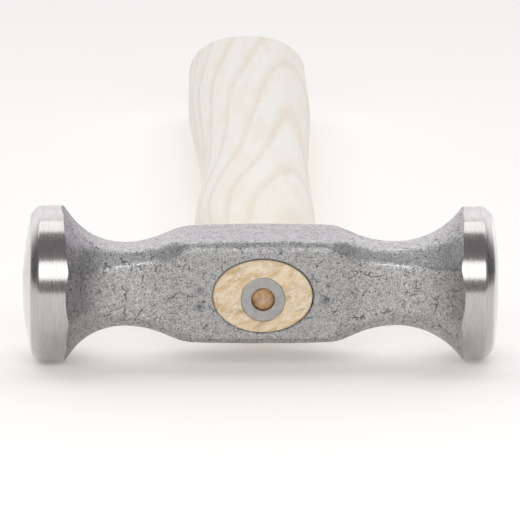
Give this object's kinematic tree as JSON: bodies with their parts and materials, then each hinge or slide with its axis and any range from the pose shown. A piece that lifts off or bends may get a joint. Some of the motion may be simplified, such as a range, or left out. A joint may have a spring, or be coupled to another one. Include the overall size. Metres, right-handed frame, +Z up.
{
  "type": "farrier's rounding hammer",
  "caption": "Double-faced rounding hammer: forged steel head with one domed and one flat round face on waisted necks, ash handle held in the oval eye by a steel ring wedge.",
  "frame": {"origin": "middle of the footprint, on the surface that the hammer lies on", "axes": "+X along the head from the domed face to the flat face, +Y along the handle from the head to the butt, +Z up from cheek to cheek"},
  "size_m": [0.135, 0.3674, 0.0445],
  "materials": {
    "head_steel": "forged and shot-blasted grey, with both rims and faces ground bright",
    "ash": "pale ash, sanded and lightly oiled, tan end grain",
    "wedge_steel": "matt machined steel"
  },
  "bodies": {
    "root": {"head": "head_steel", "handle": "ash", "ring_wedge": "wedge_steel"}
  },
  "joints": []
}
